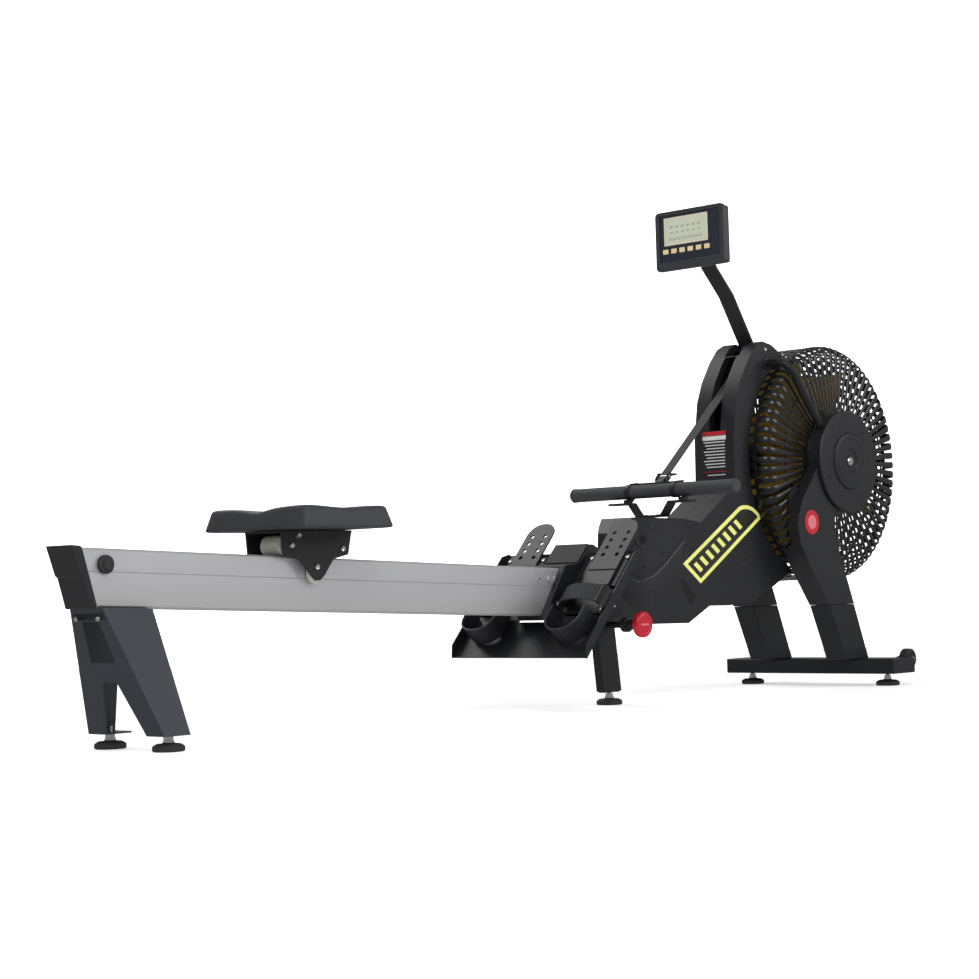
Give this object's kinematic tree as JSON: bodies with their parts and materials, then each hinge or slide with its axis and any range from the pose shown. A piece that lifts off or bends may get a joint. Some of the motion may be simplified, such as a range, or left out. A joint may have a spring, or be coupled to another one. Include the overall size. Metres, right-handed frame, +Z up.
{
  "type": "rowing machine",
  "caption": "Air-resistance rowing machine: seat sliding on a sloping rail, caged fan, pull handle on a strap, foot deck and display.",
  "frame": {"origin": "centre of the bounding box, on the floor", "axes": "+X from the seat end to the fan, +Y to the left side, +Z up"},
  "size_m": [2.4726, 0.482, 1.118],
  "materials": {
    "aluminium": "satin anodised",
    "housing_plastic": "fine satin grain",
    "frame_paint": "satin powder coat",
    "guard_plastic": "satin",
    "blade_plastic": "satin",
    "rubber": "matt",
    "seat_foam": "matt moulded skin",
    "steel": "zinc plated",
    "grip_foam": "matt foam",
    "webbing": "woven",
    "red_plastic": "semi-gloss",
    "screen": "clear window over a grey-green display",
    "button_plastic": "satin",
    "roller_plastic": "satin"
  },
  "bodies": {
    "frame": {"rail": "aluminium", "rail_end_cap": "housing_plastic", "rail_stop_near": "rubber", "rail_stop_far": "rubber", "rear_leg": "frame_paint", "mid_leg": "frame_paint", "front_stabiliser": "frame_paint", "front_leg_near": "frame_paint", "front_leg_far": "frame_paint", "arm_cover_near": "housing_plastic", "arm_cover_far": "housing_plastic", "hub_cover_near": "housing_plastic", "hub_cover_far": "housing_plastic", "brace_near": "frame_paint", "brace_far": "frame_paint", "fan_guard_near": "guard_plastic", "fan_guard_far": "guard_plastic", "fan_band": "guard_plastic", "fan_axle": "steel", "housing_near": "housing_plastic", "housing_far": "housing_plastic", "handle_hook": "frame_paint", "foot_deck": "frame_paint", "heel_cup_near": "housing_plastic", "heel_cup_far": "housing_plastic", "foot_strap_near": "webbing", "foot_strap_far": "webbing", "centre_box": "frame_paint", "centre_plate": "housing_plastic", "console_arm": "frame_paint", "strap": "webbing"},
    "fan": {"fan_rotor": "blade_plastic"},
    "seat": {"seat_pad": "seat_foam", "seat_carriage": "frame_paint"},
    "handle": {"handle": "grip_foam"},
    "console": {"console_back": "housing_plastic", "console_bezel": "housing_plastic", "console_screen": "screen"},
    "knob": {"release_knob": "red_plastic"},
    "strap_roller": {"strap_roller": "roller_plastic"},
    "strap_reel": {"strap_reel": "roller_plastic"},
    "roller_rear": {"seat_roller_rear": "roller_plastic"},
    "roller_front": {"seat_roller_front": "roller_plastic"},
    "guide_near": {"guide_wheel_near": "roller_plastic"},
    "guide_far": {"guide_wheel_far": "roller_plastic"},
    "rear_foot_near": {"rear_foot_near": "rubber"},
    "rear_foot_far": {"rear_foot_far": "rubber"},
    "mid_foot": {"mid_foot": "rubber"},
    "front_foot_near": {"front_foot_near": "rubber"},
    "front_foot_far": {"front_foot_far": "rubber"},
    "wheel_near": {"transport_wheel_near": "rubber"},
    "wheel_far": {"transport_wheel_far": "rubber"},
    "toe_near": {"toe_plate_near": "housing_plastic"},
    "toe_far": {"toe_plate_far": "housing_plastic"},
    "button_1": {"button_1": "button_plastic"},
    "button_2": {"button_2": "button_plastic"},
    "button_3": {"button_3": "button_plastic"},
    "button_4": {"button_4": "button_plastic"},
    "button_5": {"button_5": "button_plastic"},
    "button_6": {"button_6": "button_plastic"}
  },
  "joints": [
    {"name": "seat_slide", "type": "slide", "parent": "frame", "child": "seat", "axis": [0.9991, 0, -0.042], "range_m": [-0.36, 0.5]},
    {"name": "roller_rear_spin", "type": "hinge", "parent": "seat", "child": "roller_rear", "pos_m": [-0.74675, 0, 0.34764], "axis": [0, 1, 0], "range_deg": [-1100, 1500]},
    {"name": "roller_front_spin", "type": "hinge", "parent": "seat", "child": "roller_front", "pos_m": [-0.64175, 0, 0.34324], "axis": [0, 1, 0], "range_deg": [-1100, 1500]},
    {"name": "guide_near_spin", "type": "hinge", "parent": "seat", "child": "guide_near", "pos_m": [-0.69175, -0.04, 0.29503], "axis": [0, 1, 0], "continuous": true},
    {"name": "guide_far_spin", "type": "hinge", "parent": "seat", "child": "guide_far", "pos_m": [-0.69175, 0.04, 0.29503], "axis": [0, 1, 0], "continuous": true},
    {"name": "handle_pull", "type": "slide", "parent": "frame", "child": "handle", "axis": [-0.9848, 0, 0.1736], "range_m": [0, 0.9], "deforming": ["strap"]},
    {"name": "strap_roller_spin", "type": "hinge", "parent": "frame", "child": "strap_roller", "pos_m": [0.71425, 0, 0.7225], "axis": [0, -1, 0], "range_deg": [-20, 2900]},
    {"name": "strap_reel_spin", "type": "hinge", "parent": "frame", "child": "strap_reel", "pos_m": [0.53825, 0, 0.32], "axis": [0, -1, 0], "range_deg": [-20, 1200]},
    {"name": "fan_spin", "type": "hinge", "parent": "frame", "child": "fan", "pos_m": [0.95525, 0, 0.535], "axis": [0, 1, 0], "continuous": true},
    {"name": "console_tilt", "type": "hinge", "parent": "frame", "child": "console", "pos_m": [0.58575, 0, 1.045], "axis": [0, 1, 0], "range_deg": [-15, 20]},
    {"name": "knob_pull", "type": "slide", "parent": "frame", "child": "knob", "axis": [0, -1, 0], "range_m": [0, 0.008], "stiffness_N_per_m": 600, "springref_m": -0.004},
    {"name": "button_1_press", "type": "slide", "parent": "console", "child": "button_1", "axis": [1, 0, 0], "range_m": [0, 0.0011], "stiffness_N_per_m": 400, "springref_m": -0.0008},
    {"name": "button_2_press", "type": "slide", "parent": "console", "child": "button_2", "axis": [1, 0, 0], "range_m": [0, 0.0011], "stiffness_N_per_m": 400, "springref_m": -0.0008},
    {"name": "button_3_press", "type": "slide", "parent": "console", "child": "button_3", "axis": [1, 0, 0], "range_m": [0, 0.0011], "stiffness_N_per_m": 400, "springref_m": -0.0008},
    {"name": "button_4_press", "type": "slide", "parent": "console", "child": "button_4", "axis": [1, 0, 0], "range_m": [0, 0.0011], "stiffness_N_per_m": 400, "springref_m": -0.0008},
    {"name": "button_5_press", "type": "slide", "parent": "console", "child": "button_5", "axis": [1, 0, 0], "range_m": [0, 0.0011], "stiffness_N_per_m": 400, "springref_m": -0.0008},
    {"name": "button_6_press", "type": "slide", "parent": "console", "child": "button_6", "axis": [1, 0, 0], "range_m": [0, 0.0011], "stiffness_N_per_m": 400, "springref_m": -0.0008},
    {"name": "toe_near_adjust", "type": "slide", "parent": "frame", "child": "toe_near", "axis": [0.6691, 0, 0.7431], "range_m": [-0.02, 0.03]},
    {"name": "toe_far_adjust", "type": "slide", "parent": "frame", "child": "toe_far", "axis": [0.6691, 0, 0.7431], "range_m": [-0.02, 0.03]},
    {"name": "rear_foot_near_level", "type": "slide", "parent": "frame", "child": "rear_foot_near", "axis": [0, 0, -1], "range_m": [0, 0.01]},
    {"name": "rear_foot_far_level", "type": "slide", "parent": "frame", "child": "rear_foot_far", "axis": [0, 0, -1], "range_m": [0, 0.01]},
    {"name": "mid_foot_level", "type": "slide", "parent": "frame", "child": "mid_foot", "axis": [0, 0, -1], "range_m": [0, 0.01]},
    {"name": "front_foot_near_level", "type": "slide", "parent": "frame", "child": "front_foot_near", "axis": [0, 0, -1], "range_m": [0, 0.01]},
    {"name": "front_foot_far_level", "type": "slide", "parent": "frame", "child": "front_foot_far", "axis": [0, 0, -1], "range_m": [0, 0.01]},
    {"name": "wheel_near_spin", "type": "hinge", "parent": "frame", "child": "wheel_near", "pos_m": [1.08975, -0.205, 0.06], "axis": [0, 1, 0], "continuous": true},
    {"name": "wheel_far_spin", "type": "hinge", "parent": "frame", "child": "wheel_far", "pos_m": [1.08975, 0.205, 0.06], "axis": [0, 1, 0], "continuous": true}
  ],
  "couplings": [
    {"joint": "roller_rear_spin", "follows": "seat_slide", "rad_per_m": 51.282},
    {"joint": "roller_front_spin", "follows": "seat_slide", "rad_per_m": 51.282},
    {"joint": "strap_roller_spin", "follows": "handle_pull", "rad_per_m": 55.556},
    {"joint": "strap_reel_spin", "follows": "handle_pull", "rad_per_m": 22.222}
  ]
}
